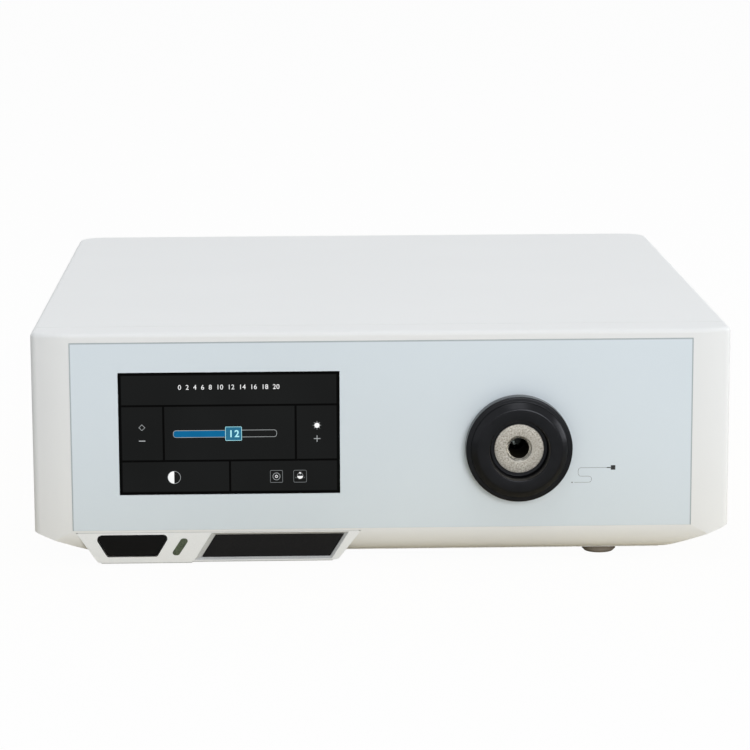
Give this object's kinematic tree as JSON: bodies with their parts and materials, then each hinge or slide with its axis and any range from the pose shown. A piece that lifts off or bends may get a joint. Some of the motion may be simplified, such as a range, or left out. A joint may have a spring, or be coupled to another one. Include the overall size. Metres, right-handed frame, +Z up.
{
  "type": "fiber optic illuminator",
  "caption": "Bench light source for fiber optic light guides: flat white case, touch screen, round light port, power key, rear mains inlet and fan.",
  "frame": {"origin": "on the bench, at the middle of the part's box in plan", "axes": "-Y out of the front panel, +Y out of the rear, +X to the right seen from the front, +Z up"},
  "size_m": [0.35, 0.3964, 0.118],
  "materials": {
    "shell_white": "satin moulded ABS",
    "panel_grey": "fine satin inlay",
    "screen_glass": "black cover glass",
    "black_anodised": "black anodised, turned",
    "turned_steel": "turned stainless steel",
    "sheet_steel": "zinc plated sheet",
    "bare_aluminium": "extruded, bare",
    "rubber_foot": "matt grey rubber",
    "pod_grey": "satin ABS",
    "key_black": "satin black key, finely grained",
    "lamp_smoke": "smoked light pipe",
    "plate_black": "satin black printed plate",
    "circuit_board": "solder mask",
    "black_plastic": "moulded PBT",
    "lens_glass": "polished",
    "led_phosphor": "phosphor under a clear dome",
    "screw_steel": "zinc plated",
    "brass_pin": "nickel plated brass",
    "lead_black": "PVC jacket",
    "lead_earth": "green PVC jacket",
    "fuse_glass": "glass tube"
  },
  "bodies": {
    "root": {"upper_shell": "shell_white", "base_tray": "shell_white", "front_bezel": "shell_white", "front_panel": "panel_grey", "rear_panel": "sheet_steel", "touch_glass": "screen_glass", "display_module": "sheet_steel", "display_bracket": "sheet_steel", "bracket_screws": "screw_steel", "control_standoffs": "brass_pin", "control_board": "circuit_board", "pod_housing": "pod_grey", "status_lens": "lamp_smoke", "name_plate": "plate_black", "button_board": "circuit_board", "port_collar": "black_anodised", "collar_nut": "black_anodised", "lens_barrel": "black_anodised", "front_lens": "lens_glass", "rear_lens": "lens_glass", "lens_spacer": "black_anodised", "lens_keeper": "black_anodised", "engine_bracket": "bare_aluminium", "engine_screws": "screw_steel", "led_board": "bare_aluminium", "led_emitter": "led_phosphor", "heat_sink": "bare_aluminium", "sink_fan_frame": "black_plastic", "rear_fan_frame": "black_plastic", "fan_screws": "screw_steel", "foot_front_left": "rubber_foot", "foot_front_right": "rubber_foot", "foot_rear_left": "rubber_foot", "foot_rear_right": "rubber_foot", "chassis_plate": "sheet_steel", "supply_case": "sheet_steel", "supply_cover": "sheet_steel", "supply_board": "circuit_board", "supply_terminals": "black_plastic", "driver_standoffs": "brass_pin", "driver_board": "circuit_board", "inlet_body": "black_plastic", "inlet_pins": "brass_pin", "inlet_screws": "screw_steel", "cover_screws": "screw_steel", "equipotential_stud": "brass_pin", "stud_nut": "brass_pin", "mains_lead": "lead_black", "driver_lead": "lead_black", "led_lead": "lead_black", "signal_leads": "lead_black", "earth_lead": "lead_earth", "fan_leads": "lead_black"},
    "power_key": {"power_button": "key_black"},
    "guide_insert": {"light_guide_adapter": "turned_steel"},
    "mains_rocker": {"rocker_switch": "black_plastic"},
    "fuse_tray": {"fuse_drawer": "black_plastic", "fuses": "fuse_glass"},
    "rear_rotor": {"rear_fan_rotor": "black_plastic"},
    "sink_rotor": {"sink_fan_rotor": "black_plastic"}
  },
  "joints": [
    {"name": "power_key_press", "type": "slide", "parent": "root", "child": "power_key", "axis": [0, 1, 0], "range_m": [0, 0.0015], "stiffness_N_per_m": 600},
    {"name": "guide_insert_pull", "type": "slide", "parent": "root", "child": "guide_insert", "axis": [0, -1, 0], "range_m": [0, 0.03]},
    {"name": "mains_rocker_tilt", "type": "hinge", "parent": "root", "child": "mains_rocker", "pos_m": [-0.11, 0.18008, 0.0825], "axis": [-1, 0, 0], "range_deg": [0, 18]},
    {"name": "fuse_tray_pull", "type": "slide", "parent": "root", "child": "fuse_tray", "axis": [0, 1, 0], "range_m": [0, 0.022]},
    {"name": "rear_fan_spin", "type": "hinge", "parent": "root", "child": "rear_rotor", "pos_m": [0.068, 0.16525, 0.063], "axis": [0, 1, 0], "continuous": true},
    {"name": "sink_fan_spin", "type": "hinge", "parent": "root", "child": "sink_rotor", "pos_m": [0.0682, -0.03725, 0.0588], "axis": [0, 1, 0], "continuous": true}
  ]
}
